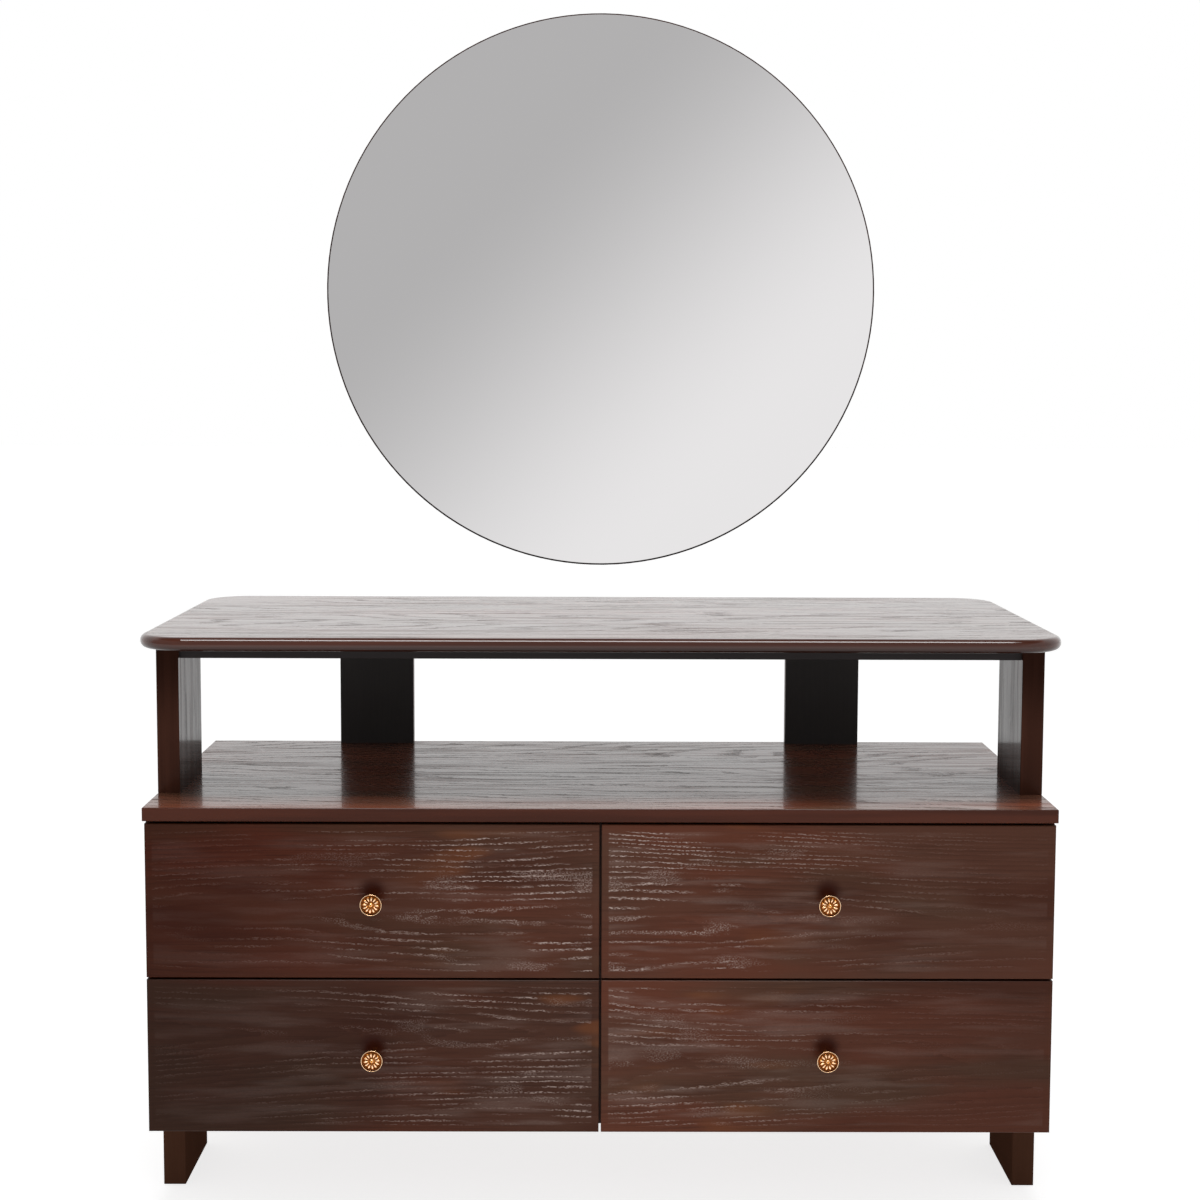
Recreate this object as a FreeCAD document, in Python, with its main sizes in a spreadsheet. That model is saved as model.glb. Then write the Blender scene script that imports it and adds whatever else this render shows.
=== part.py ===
import FreeCAD, Part
import os
import re
import Sketcher
from FreeCAD import Placement, Rotation, Vector

# Dresser in dark stained veneer: a chest of four overlay drawers, an open space on its shelf board,
# a bullnosed top board on side supports and back posts, and the round wall mirror that hangs above it.
# The chest's front looks along -Y, the floor is Z = 0 and the origin lies on the floor under its middle.

doc = FreeCAD.newDocument("dresser")
sheet = doc.addObject("Spreadsheet::Sheet", "sizes")

# Driving sizes in millimetres, by what they belong to
driving = [
    # chest
    ("chest_width", 1200), ("chest_depth", 500), ("board", 18), ("back_thickness", 5),
    ("housing", 6), ("back_housing", 8), ("arris", 0.8), ("overrun", 2),
    # drawer faces
    ("face_height", 205.5), ("face_thickness", 20), ("face_setback", 2), ("face_reveal", 2.5),
    ("face_gap", 3), ("face_top_gap", 3.5), ("face_hang", 4), ("face_standoff", 1),
    # feet and the open frame above the chest
    ("foot_height", 115.5), ("open_height", 208), ("support_thickness", 30), ("support_depth", 150),
    ("support_setback", 97), ("post_width", 113), ("post_thickness", 18), ("post_spread", 690),
    ("rail_height", 25), ("rail_depth", 30), ("rail_setback", 8),
    # top board
    ("top_thickness", 18), ("top_side_overhang", 7), ("top_front_overhang", 20),
    ("top_corner_radius", 65), ("bullnose_share", 0.49),
    # drawer boxes
    ("box_side", 15), ("box_height", 150), ("box_depth", 450), ("box_rise", 36),
    ("box_bottom", 5), ("box_bottom_rise", 12), ("box_groove", 6),
    # runners
    ("runner_thickness", 12.7), ("runner_height", 45.5), ("runner_sheet", 1.2),
    ("runner_play", 0.35), ("runner_inset", 2), ("runner_rise", 52), ("runner_lip", 3.1),
    # stub tenons and bores
    ("tenon_length", 9), ("tenon_thickness", 8), ("tenon_shoulder", 20), ("tenon_play", 0.2),
    ("foot_shoulder", 2), ("bore_play", 0.1),
    # knob
    ("knob_diameter", 28.6), ("knob_projection", 22), ("knob_foot_diameter", 17), ("knob_foot_height", 3.4),
    ("knob_throat_diameter", 11), ("knob_throat_height", 10), ("knob_collar_diameter", 21),
    ("knob_underside", 16.4), ("knob_rim_height", 4.4),
    ("knob_rim_width", 1.4), ("knob_recess", 1.6), ("knob_boss_diameter", 6.4), ("petal_width", 3.9),
    ("petal_tip", 4.4), ("petal_shoulder", 9), ("petal_outer", 12.2), ("petal_height", 1.3),
    ("petal_bevel", 0.7), ("petal_count", 12), ("knob_bolt", 4), ("knob_bolt_grip", 11),
    ("knob_bolt_head", 8.4), ("knob_bolt_head_height", 2.6),
    # wall mirror
    ("mirror_diameter", 840), ("mirror_centre", 1244), ("mirror_board", 18), ("mirror_glass", 5),
    ("mirror_rim", 2), ("mirror_bevel", 0.8), ("hanger_width", 16), ("hanger_length", 40),
    ("hanger_sheet", 1.6), ("hanger_cavity", 7), ("hanger_rise", 230), ("hanger_spread", 420),
    ("hanger_hole", 9.5), ("hanger_slot", 4.6), ("hanger_drop", 9), ("hanger_margin", 3),
]

# Sizes that follow from the driving ones
derived = [
    ("top_width", "chest_width + 2 * top_side_overhang"),
    ("top_depth", "chest_depth + 2 * top_front_overhang"),
    ("face_bottom", "foot_height - face_hang"),
    ("shelf_underside", "face_bottom + 2 * face_height + face_gap + face_top_gap"),
    ("shelf_top", "shelf_underside + board"),
    ("top_underside", "shelf_top + open_height"),
    ("face_front", "face_setback - chest_depth / 2"),
    ("face_back", "face_front + face_thickness"),
    ("carcass_front", "face_back + face_standoff"),
    ("carcass_back", "chest_depth / 2"),
    ("carcass_depth", "carcass_back - carcass_front"),
    ("inner_depth", "carcass_depth - back_thickness"),
    ("inner_side", "chest_width / 2 - board"),
    ("bay_width", "inner_side - board / 2"),
    ("face_width", "(chest_width - face_gap) / 2 - face_reveal"),
    ("box_width", "bay_width - 2 * runner_thickness"),
    ("support_front", "support_setback - chest_depth / 2"),
    ("support_inner", "chest_width / 2 - support_thickness"),
    ("post_front", "chest_depth / 2 - post_thickness"),
    ("runner_length", "box_depth"),
    ("middle_height", "runner_height - 2 * (runner_sheet + runner_play)"),
    ("inner_height", "middle_height - 2 * (runner_sheet + runner_play)"),
    ("outer_reach", "runner_thickness - runner_lip"),
    ("middle_start", "runner_sheet + runner_play"),
    ("middle_end", "runner_thickness - runner_sheet - runner_play"),
    ("inner_start", "middle_start + runner_sheet + runner_play"),
    ("knob_rim_top", "knob_underside + knob_rim_height"),
    ("wall", "top_depth / 2"),
]

aliases = [name for name, value in driving + derived]
for row, (name, value) in enumerate(driving + derived, start=1):
    cell = "B%d" % row
    sheet.set("A%d" % row, name)
    sheet.set(cell, str(value) if not isinstance(value, str) else "=" + value)
    sheet.setAlias(cell, name)
doc.recompute()


def sized(text):
    # every size named in the text becomes a reference to its cell
    return re.sub(r"[a-z_]+", lambda word: "sizes." + word.group(0) if word.group(0) in aliases
                  else word.group(0), str(text))


def value(text):
    return float(doc.sizes.evalExpression(sized(text)))


def bind(thing, **sizes):
    for prop, text in sizes.items():
        thing.setExpression(prop, sized(text))


def place(thing, x="0", y="0", z="0", rotation=None):
    if rotation is not None:
        thing.Placement = Placement(Vector(), rotation)
    for axis, text in zip("xyz", (x, y, z)):
        thing.setExpression(".Placement.Base." + axis, sized(text))


nodes = []


def node(thing, name):
    thing.Label = name
    nodes.append(thing)
    return thing


# Sketches, pads and cuts

def new_sketch(body, name, plane="XY_Plane", level="0"):
    sketch = body.newObject("Sketcher::SketchObject", name)
    origin_plane = [one for one in body.Origin.OriginFeatures if one.Role == plane][0]
    sketch.AttachmentSupport = [(origin_plane, "")]
    sketch.MapMode = "FlatFace"
    sketch.setExpression(".AttachmentOffset.Base.z", sized(level))
    return sketch


def pin_point(sketch, line, point, x, y):
    # a point's distances from the origin along both axes
    for kind, text in (("DistanceX", x), ("DistanceY", y)):
        now = value(text)
        if now == 0:
            axis = -2 if kind == "DistanceX" else -1
            sketch.addConstraint(Sketcher.Constraint("PointOnObject", line, point, axis))
            continue
        index = sketch.addConstraint(Sketcher.Constraint(kind, -1, 1, line, point, now))
        sketch.setExpression("Constraints[%d]" % index, sized(text))


def outline(sketch, points):
    # closed run of straight edges through points given as pairs of size texts
    places = [Vector(value(x), value(y), 0) for x, y in points]
    first = sketch.GeometryCount
    count = len(points)
    for i in range(count):
        sketch.addGeometry(Part.LineSegment(places[i], places[(i + 1) % count]))
    for i in range(count):
        sketch.addConstraint(Sketcher.Constraint("Coincident", first + i, 2, first + (i + 1) % count, 1))
    for i, (x, y) in enumerate(points):
        pin_point(sketch, first + i, 1, x, y)


def rectangle(sketch, left, low, right, high):
    outline(sketch, [(left, low), (right, low), (right, high), (left, high)])


def circle(sketch, x, y, radius):
    centre = Vector(value(x), value(y), 0)
    ring = sketch.addGeometry(Part.Circle(centre, Vector(0, 0, 1), value(radius)))
    pin_point(sketch, ring, 3, x, y)
    index = sketch.addConstraint(Sketcher.Constraint("Radius", ring, value(radius)))
    sketch.setExpression("Constraints[%d]" % index, sized(radius))


def pad(body, sketch, length, reverse=False):
    feature = body.newObject("PartDesign::Pad", sketch.Name + "_pad")
    feature.Profile = sketch
    feature.Reversed = reverse
    bind(feature, Length=length)
    sketch.Visibility = False
    return feature


def cut(body, sketch, depth, reverse=False):
    # pocket against the sketch's normal, or along it when reversed; it has to take material away
    doc.recompute()
    before = body.Shape.Volume
    feature = body.newObject("PartDesign::Pocket", sketch.Name + "_cut")
    feature.Profile = sketch
    feature.Reversed = reverse
    bind(feature, Length=depth)
    doc.recompute()
    if body.Shape.Volume >= before:
        raise RuntimeError("%s cuts nothing" % feature.Name)
    return feature


def ease(body, name, test, size="arris", kind="Chamfer", prop="Size"):
    # bevels or rounds the edges that pass the test
    doc.recompute()
    base = body.Tip
    names = ["Edge%d" % (i + 1) for i, edge in enumerate(base.Shape.Edges) if test(edge)]
    feature = body.newObject("PartDesign::" + kind, name)
    feature.Base = (base, names)
    bind(feature, **{prop: size})
    return feature


def near(number, text):
    return abs(number - value(text)) < value("overrun") / 1000


def straight_between(edge, test):
    return len(edge.Vertexes) == 2 and all(test(vertex.Point) for vertex in edge.Vertexes)


def upright(edge, tall):
    return near(edge.BoundBox.ZLength, tall)


def board(name, wide, deep, tall, x, y, z):
    # plain board with its lower left front corner at its own origin
    body = doc.addObject("PartDesign::Body", name)
    sketch = new_sketch(body, name + "_outline")
    rectangle(sketch, "0", "0", wide, deep)
    pad(body, sketch, tall)
    place(body, x, y, z)
    return node(body, name)


def bores(body, name, spots, level, depth, up, radius):
    # round holes from a level of the board, upwards or downwards
    sketch = new_sketch(body, name, level=level)
    for x, y in spots:
        circle(sketch, x, y, radius)
    return cut(body, sketch, depth, reverse=up)


def recess(body, name, left, low, right, high, level, depth, up):
    sketch = new_sketch(body, name, level=level)
    rectangle(sketch, left, low, right, high)
    return cut(body, sketch, depth, reverse=up)


def tenon(piece, name, corners, level, length, downward=False):
    sketch = new_sketch(piece, name, level=level)
    rectangle(sketch, *corners)
    pad(piece, sketch, length, downward)


def mortise(piece, name, corners, x, y, level, length, up):
    # slot for a tenon or tongue of a board that stands at x, y in this piece's own frame
    left, low, right, high = corners
    recess(piece, name, "%s + %s - tenon_play" % (x, left), "%s + %s - tenon_play" % (y, low),
           "%s + %s + tenon_play" % (x, right), "%s + %s + tenon_play" % (y, high),
           level, length + " + tenon_play", up)


# Chest

def chest():
    shelf = board("shelf_board", "chest_width", "chest_depth", "board",
                  "-chest_width / 2", "-chest_depth / 2", "shelf_underside")
    ease(shelf, "shelf_arrises",
         lambda edge: straight_between(edge, lambda p: near(p.z, "board"))
         or straight_between(edge, lambda p: near(p.y, "0")))
    bottom = board("bottom_panel", "2 * (inner_side + housing)", "inner_depth", "board",
                   "-inner_side - housing", "carcass_front", "foot_height")
    board("centre_divider", "board", "inner_depth",
          "shelf_underside - foot_height - board + 2 * housing",
          "-board / 2", "carcass_front", "foot_height + board - housing")
    board("back_panel", "2 * (inner_side + back_housing)", "back_thickness",
          "shelf_underside - foot_height",
          "-inner_side - back_housing", "carcass_back - back_thickness", "foot_height")

    # housings for the divider in the boards above and below it
    for piece, name, left, front, level, up in (
            (shelf, "shelf_housing", "chest_width / 2 - board / 2", "carcass_front + chest_depth / 2",
             "0", True),
            (bottom, "bottom_housing", "inner_side + housing - board / 2", "0", "board", False)):
        recess(piece, name, left, front, left + " + board", front + " + inner_depth", level, "housing", up)

    # side panels: seats for the bottom and the back, and a tongue let into the shelf board
    tongue = ("(board - tenon_thickness) / 2", "tenon_shoulder",
              "(board + tenon_thickness) / 2", "inner_depth - tenon_shoulder")
    for side, outer in (("left", "-chest_width / 2"), ("right", "inner_side")):
        panel = board("side_panel_" + side, "board", "carcass_depth", "shelf_underside - foot_height",
                      outer, "carcass_front", "foot_height")
        bottom_low = "board - housing" if side == "left" else "0"
        back_low = "board - back_housing" if side == "left" else "0"
        recess(panel, "bottom_seat_" + side, bottom_low, "0", bottom_low + " + housing", "inner_depth",
               "0", "board", True)
        recess(panel, "back_seat_" + side, back_low, "inner_depth", back_low + " + back_housing",
               "carcass_depth", "0", "shelf_underside - foot_height", True)
        tenon(panel, "panel_tongue_" + side, tongue, "shelf_underside - foot_height", "housing")
        mortise(shelf, "shelf_groove_" + side, tongue, outer + " + chest_width / 2",
                "carcass_front + chest_depth / 2", "0", "housing", True)
    return shelf, bottom


shelf, bottom = chest()


# Open frame: side supports, back posts, front rail and top board

def frame():
    top = doc.addObject("PartDesign::Body", "top_board")
    sketch = new_sketch(top, "top_outline")
    rectangle(sketch, "-top_width / 2", "-top_depth / 2", "top_width / 2", "top_depth / 2")
    pad(top, sketch, "top_thickness")
    place(top, z="top_underside")
    node(top, "top_board")
    ease(top, "top_corners", lambda edge: upright(edge, "top_thickness"), "top_corner_radius",
         "Fillet", "Radius")
    # full bullnose round the whole board
    ease(top, "bullnose",
         lambda edge: near(edge.BoundBox.ZMax, "0") or near(edge.BoundBox.ZMin, "top_thickness"),
         "top_thickness * bullnose_share", "Fillet", "Radius")

    # uprights stub-tenoned into the boards below and above them
    uprights = []
    for side, outer, post_left in (("left", "-chest_width / 2", "-post_spread / 2 - post_width / 2"),
                                   ("right", "support_inner", "post_spread / 2 - post_width / 2")):
        uprights.append(("side_support_" + side, "support_thickness", "support_depth", outer, "support_front",
                         ("(support_thickness - tenon_thickness) / 2", "tenon_shoulder",
                          "(support_thickness + tenon_thickness) / 2", "support_depth - tenon_shoulder")))
        uprights.append(("back_post_" + side, "post_width", "post_thickness", post_left, "post_front",
                         ("tenon_shoulder", "(post_thickness - tenon_thickness) / 2",
                          "post_width - tenon_shoulder", "(post_thickness + tenon_thickness) / 2")))
    for name, wide, deep, left, front, corners in uprights:
        piece = board(name, wide, deep, "open_height", left, front, "shelf_top")
        ease(piece, name + "_arrises", lambda edge: upright(edge, "open_height"))
        tenon(piece, name + "_foot_tenon", corners, "0", "tenon_length", True)
        tenon(piece, name + "_head_tenon", corners, "open_height", "tenon_length")
        mortise(top, name + "_top_mortise", corners, left, front, "0", "tenon_length", True)
        mortise(shelf, name + "_shelf_mortise", corners, left + " + chest_width / 2",
                front + " + chest_depth / 2", "board", "tenon_length", False)

    rail = board("top_rail_front", "2 * support_inner", "rail_depth", "rail_height",
                 "-support_inner", "support_front + rail_setback", "top_underside - rail_height")
    ease(rail, "rail_arrises", lambda edge: straight_between(edge, lambda p: near(p.z, "0")))


frame()


# Feet: side boards under the supports and back boards under the posts

def feet():
    # their tenons keep clear of the side panels and the back, inside the bottom panel
    for side, outer, rear_left in (("left", "-chest_width / 2", "-post_spread / 2 - post_width / 2"),
                                   ("right", "support_inner", "post_spread / 2 - post_width / 2")):
        tenon_low = "foot_shoulder" if side == "right" else "support_thickness - foot_shoulder - tenon_thickness"
        for name, wide, deep, left, front, corners in (
                ("foot_front_" + side, "support_thickness", "support_depth", outer, "support_front",
                 (tenon_low, "tenon_shoulder", tenon_low + " + tenon_thickness",
                  "support_depth - tenon_shoulder")),
                ("foot_rear_" + side, "post_width", "post_thickness", rear_left, "post_front",
                 ("tenon_shoulder", "foot_shoulder", "post_width - tenon_shoulder",
                  "foot_shoulder + tenon_thickness"))):
            foot = board(name, wide, deep, "foot_height", left, front, "0")
            ease(foot, name + "_arrises", lambda edge: upright(edge, "foot_height"))
            tenon(foot, name + "_tenon", corners, "foot_height", "tenon_length")
            mortise(bottom, name + "_mortise", corners, left + " + inner_side + housing",
                    front + " - carcass_front", "0", "tenon_length", True)


feet()


# Telescopic runners: three nested steel channels on each side of a drawer

def channel(name, start, end, height, y, z, wall_x, toward, open_to_wall=False):
    # channel between two distances from the wall that carries the runner; toward is its direction
    low, high = (start, end) if toward > 0 else ("-(%s)" % end, "-(%s)" % start)
    solid = doc.addObject("Part::Box", name + "_body")
    bind(solid, Length="%s - (%s)" % (high, low), Width="runner_length", Height=height)
    place(solid, "%s + (%s)" % (wall_x, low), y, z)
    hollow = doc.addObject("Part::Box", name + "_hollow")
    bind(hollow, Length="%s - (%s)" % (high, low), Width="runner_length + 2 * overrun",
         Height=height + " - 2 * runner_sheet")
    web_low = (toward > 0) != open_to_wall
    shift = "runner_sheet" if web_low else "-runner_sheet"
    place(hollow, "%s + (%s) + %s" % (wall_x, low, shift), y + " - overrun", z + " + runner_sheet")
    section = doc.addObject("Part::Cut", name)
    section.Base = solid
    section.Tool = hollow
    return section


def runners(column, row, left_wall, right_wall, box_z, outer_members):
    low = box_z + " + runner_rise"
    start = "carcass_front + runner_inset"
    name = row + "_" + column
    middle = []
    inner = []
    for side, wall_x, toward in (("left", left_wall, 1), ("right", right_wall, -1)):
        full = name + "_runner_" + side
        outer_members.append(channel(full + "_outer", "0", "outer_reach", "runner_height",
                                     start, low, wall_x, toward))
        middle.append(channel(full + "_middle", "middle_start", "middle_end", "middle_height", start,
                              low + " + runner_sheet + runner_play", wall_x, toward))
        inner.append(channel(full + "_inner", "inner_start", "runner_thickness", "inner_height", start,
                             low + " + 2 * (runner_sheet + runner_play)", wall_x, toward, True))
    for kind, members in (("middle", middle), ("inner", inner)):
        pair = doc.addObject("Part::Compound", name + "_runner_" + kind)
        pair.Links = members
        node(pair, name + "_runner_" + kind)


# Knob: turned head on a waisted neck, with a ring of raised petals round a boss

def knob(name, x, y, z, turn):
    body = doc.addObject("PartDesign::Body", name)
    profile = new_sketch(body, name + "_profile", "XZ_Plane")
    rim = "knob_diameter / 2"
    floor = "knob_rim_top - knob_recess"
    outline(profile, [
        ("0", "0"),
        ("knob_foot_diameter / 2", "0"),
        ("knob_throat_diameter / 2", "knob_foot_height"),
        ("knob_throat_diameter / 2", "knob_throat_height"),
        ("knob_collar_diameter / 2", "knob_underside"),
        (rim, "knob_underside"),
        (rim, "knob_rim_top"),
        (rim + " - knob_rim_width", "knob_rim_top"),
        (rim + " - knob_rim_width", floor),
        ("knob_boss_diameter / 2", floor),
        ("knob_boss_diameter / 2", "knob_projection"),
        ("0", "knob_projection"),
    ])
    turned = body.newObject("PartDesign::Revolution", name + "_turned")
    turned.Profile = profile
    turned.ReferenceAxis = (profile, ["V_Axis"])
    turned.Angle = 360
    doc.recompute()

    petal = new_sketch(body, name + "_petal", level=floor)
    outline(petal, [("petal_tip", "0"), ("petal_shoulder", "-petal_width / 2"),
                    ("petal_outer", "-petal_width / 4"), ("petal_outer", "petal_width / 4"),
                    ("petal_shoulder", "petal_width / 2")])
    raised = pad(body, petal, "petal_height")
    doc.recompute()
    ring = body.newObject("PartDesign::PolarPattern", name + "_petals")
    ring.Originals = [raised]
    ring.Axis = (petal, ["N_Axis"])
    ring.Angle = 360
    bind(ring, Occurrences="petal_count")
    body.Tip = ring
    ease(body, name + "_petal_bevels",
         lambda edge: straight_between(edge, lambda p: near(p.z, floor + " + petal_height")),
         "petal_bevel")
    bores(body, name + "_bolt_bore", [("0", "0")], "0", "knob_bolt_grip", True,
          "knob_bolt / 2 + bore_play")
    place(body, x, y, z, Rotation(Vector(1, 0, 0), 90) * Rotation(Vector(0, 0, 1), turn))
    return node(body, name)


def knob_screw(name, x, y, z):
    # pan head inside the drawer, shank through the face into the knob
    outward = Rotation(Vector(1, 0, 0), 90)
    shank = doc.addObject("Part::Cylinder", name + "_shank")
    bind(shank, Radius="knob_bolt / 2", Height="face_thickness + knob_bolt_grip - overrun")
    place(shank, x, y, z, outward)
    head = doc.addObject("Part::Cylinder", name + "_head")
    bind(head, Radius="knob_bolt_head / 2", Height="knob_bolt_head_height")
    place(head, x, y + " + knob_bolt_head_height", z, outward)
    screw = doc.addObject("Part::Fuse", name)
    screw.Base = shank
    screw.Tool = head
    return node(screw, name)


# Drawers: overlay face, two sides, back and a thin bottom in grooves

def drawer(column, row, knob_turn, outer_members):
    name = row + "_" + column
    left = "-face_gap / 2 - face_width" if column == "left" else "face_gap / 2"
    low = "face_bottom" if row == "lower" else "face_bottom + face_height + face_gap"
    left_wall = "-inner_side" if column == "left" else "board / 2"
    right_wall = "-board / 2" if column == "left" else "inner_side"
    box_left = left_wall + " + runner_thickness"
    box_z = low + " + box_rise"
    floor_rise = "box_bottom_rise"

    face = board(name + "_face", "face_width", "face_thickness", "face_height", left, "face_front", low)
    recess(face, name + "_face_groove",
           "%s + box_side - box_groove - (%s)" % (box_left, left), "face_thickness - box_groove",
           "%s + box_width - box_side + box_groove - (%s)" % (box_left, left), "face_thickness",
           "box_rise + box_bottom_rise", "box_bottom", True)
    hole = new_sketch(face, name + "_bolt_hole", "XZ_Plane")
    circle(hole, "face_width / 2", "face_height / 2", "knob_bolt / 2 + bore_play")
    cut(face, hole, "face_thickness")
    ease(face, name + "_face_arrises",
         lambda edge: straight_between(edge, lambda p: near(p.y, "0")))

    for side in ("left", "right"):
        shift = "" if side == "left" else " + box_width - box_side"
        cheek = board("%s_side_%s" % (name, side), "box_side", "box_depth", "box_height",
                      box_left + shift, "face_back", box_z)
        groove_low = "box_side - box_groove" if side == "left" else "0"
        recess(cheek, "%s_groove_%s" % (name, side), groove_low, "0", groove_low + " + box_groove",
               "box_depth", floor_rise, "box_bottom", True)
    board(name + "_back", "box_width - 2 * box_side", "box_side", "box_height - box_bottom_rise - box_bottom",
          box_left + " + box_side", "face_back + box_depth - box_side",
          box_z + " + box_bottom_rise + box_bottom")
    board(name + "_bottom", "box_width - 2 * (box_side - box_groove)", "box_depth + box_groove", "box_bottom",
          box_left + " + box_side - box_groove", "face_back - box_groove", box_z + " + box_bottom_rise")
    knob(name + "_knob", left + " + face_width / 2", "face_front", low + " + face_height / 2", knob_turn)
    knob_screw(name + "_knob_screw", left + " + face_width / 2", "face_back", low + " + face_height / 2")
    runners(column, row, left_wall, right_wall, box_z, outer_members)


outer_members = []
knob_turns = {("left", "upper"): 6, ("right", "upper"): 19, ("left", "lower"): 24, ("right", "lower"): 11}
for (column, row), knob_turn in knob_turns.items():
    drawer(column, row, knob_turn, outer_members)

group = doc.addObject("Part::Compound", "runner_outer")
group.Links = outer_members
node(group, "runner_outer")


# Wall mirror: round board, round glass and two keyhole plates let into its back

def mirror():
    facing = Rotation(Vector(1, 0, 0), 90)
    backing = doc.addObject("PartDesign::Body", "mirror_board")
    sketch = new_sketch(backing, "mirror_board_outline")
    circle(sketch, "0", "0", "mirror_diameter / 2")
    pad(backing, sketch, "mirror_board")
    for side, sign in (("left", "-"), ("right", "")):
        centre = sign + "hanger_spread / 2"
        for kind, margin, depth in (("seat", "0", "hanger_sheet"), ("cavity", "hanger_margin", "hanger_cavity")):
            recess(backing, "hanger_%s_%s" % (kind, side),
                   "%s - hanger_width / 2 + %s" % (centre, margin),
                   "hanger_rise - hanger_length / 2 + %s" % margin,
                   "%s + hanger_width / 2 - %s" % (centre, margin),
                   "hanger_rise + hanger_length / 2 - %s" % margin,
                   "0", depth, True)
    place(backing, "0", "wall", "mirror_centre", facing)
    node(backing, "mirror_board")

    glass = doc.addObject("PartDesign::Body", "mirror_glass")
    sketch = new_sketch(glass, "mirror_glass_outline")
    circle(sketch, "0", "0", "mirror_diameter / 2 - mirror_rim")
    pad(glass, sketch, "mirror_glass")
    ease(glass, "glass_bevel", lambda edge: near(edge.BoundBox.ZMin, "mirror_glass"), "mirror_bevel")
    place(glass, "0", "wall - mirror_board", "mirror_centre", facing)
    node(glass, "mirror_glass")

    plates = []
    for side, sign in (("left", "-"), ("right", "")):
        plate = doc.addObject("PartDesign::Body", "hanger_" + side)
        sketch = new_sketch(plate, "hanger_outline_" + side)
        rectangle(sketch, "-hanger_width / 2", "-hanger_length / 2", "hanger_width / 2", "hanger_length / 2")
        pad(plate, sketch, "hanger_sheet")
        hole = new_sketch(plate, "hanger_hole_" + side)
        circle(hole, "0", "-hanger_drop", "hanger_hole / 2")
        cut(plate, hole, "hanger_sheet", reverse=True)
        recess(plate, "hanger_slot_" + side, "-hanger_slot / 2", "-hanger_drop", "hanger_slot / 2",
               "hanger_drop", "0", "hanger_sheet", True)
        place(plate, sign + "hanger_spread / 2", "wall", "mirror_centre + hanger_rise", facing)
        plates.append(plate)
    pair = doc.addObject("Part::Compound", "mirror_hangers")
    pair.Links = plates
    node(pair, "mirror_hangers")


mirror()


# Check every object, then write each piece to its own file

doc.recompute()
for thing in doc.Objects:
    if "Invalid" in thing.State or "Error" in thing.State:
        raise RuntimeError("%s failed: %s" % (thing.Name, thing.State))
os.makedirs("parts", exist_ok=True)
for piece in nodes:
    if piece.Shape.isNull() or not piece.Shape.isValid():
        raise RuntimeError("%s has no valid shape" % piece.Label)
    piece.Shape.exportStep(os.path.join("parts", piece.Label + ".step"))
print("%d pieces written" % len(nodes))
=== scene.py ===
import math
import bmesh
import bpy
from mathutils import Matrix, Vector


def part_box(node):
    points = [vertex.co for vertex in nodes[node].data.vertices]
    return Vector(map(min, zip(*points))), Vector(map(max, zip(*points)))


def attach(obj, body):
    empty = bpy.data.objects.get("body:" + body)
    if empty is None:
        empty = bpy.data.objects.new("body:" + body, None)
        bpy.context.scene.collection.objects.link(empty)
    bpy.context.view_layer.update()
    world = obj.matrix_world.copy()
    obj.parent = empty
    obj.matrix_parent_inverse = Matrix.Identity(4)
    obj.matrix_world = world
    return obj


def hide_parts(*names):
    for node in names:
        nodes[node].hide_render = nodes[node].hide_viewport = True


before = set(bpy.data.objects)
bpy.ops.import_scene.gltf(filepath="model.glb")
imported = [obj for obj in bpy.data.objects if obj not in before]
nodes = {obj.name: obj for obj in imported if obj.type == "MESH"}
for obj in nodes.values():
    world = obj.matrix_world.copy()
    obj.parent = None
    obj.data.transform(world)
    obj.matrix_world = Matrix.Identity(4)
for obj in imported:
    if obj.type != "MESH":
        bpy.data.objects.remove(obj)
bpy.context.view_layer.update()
print("frame loaded:", len(nodes), "nodes")

# a dark stained dresser with rosette knobs and its round wall mirror, in metres, front towards -Y

drawers = ["upper_left", "upper_right", "lower_left", "lower_right"]


class Link:
    # one shader socket, so that shader maths reads as plain sums

    def __init__(self, finish, socket):
        self.finish = finish
        self.socket = socket

    def math(self, operation, *others):
        return self.finish.node("ShaderNodeMath", {"operation": operation},
                                dict(enumerate([self, *others])))

    def flipped(self, operation, other):
        return self.finish.node("ShaderNodeMath", {"operation": operation}, {0: other, 1: self})

    def __add__(self, other):
        return self.math("ADD", other)

    def __sub__(self, other):
        return self.math("SUBTRACT", other)

    def __mul__(self, other):
        return self.math("MULTIPLY", other)

    def __truediv__(self, other):
        return self.math("DIVIDE", other)

    def __pow__(self, other):
        return self.math("POWER", other)

    def __radd__(self, other):
        return self.math("ADD", other)

    def __rmul__(self, other):
        return self.math("MULTIPLY", other)

    def __rsub__(self, other):
        return self.flipped("SUBTRACT", other)

    def __rtruediv__(self, other):
        return self.flipped("DIVIDE", other)

    def __rpow__(self, other):
        return self.flipped("POWER", other)

    def between(self, low, high):
        # 0 at low, 1 at high and an eased way between them
        return self.finish.node("ShaderNodeMapRange", {"interpolation_type": "SMOOTHSTEP"},
                                {"Value": self, "From Min": low, "From Max": high})


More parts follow.
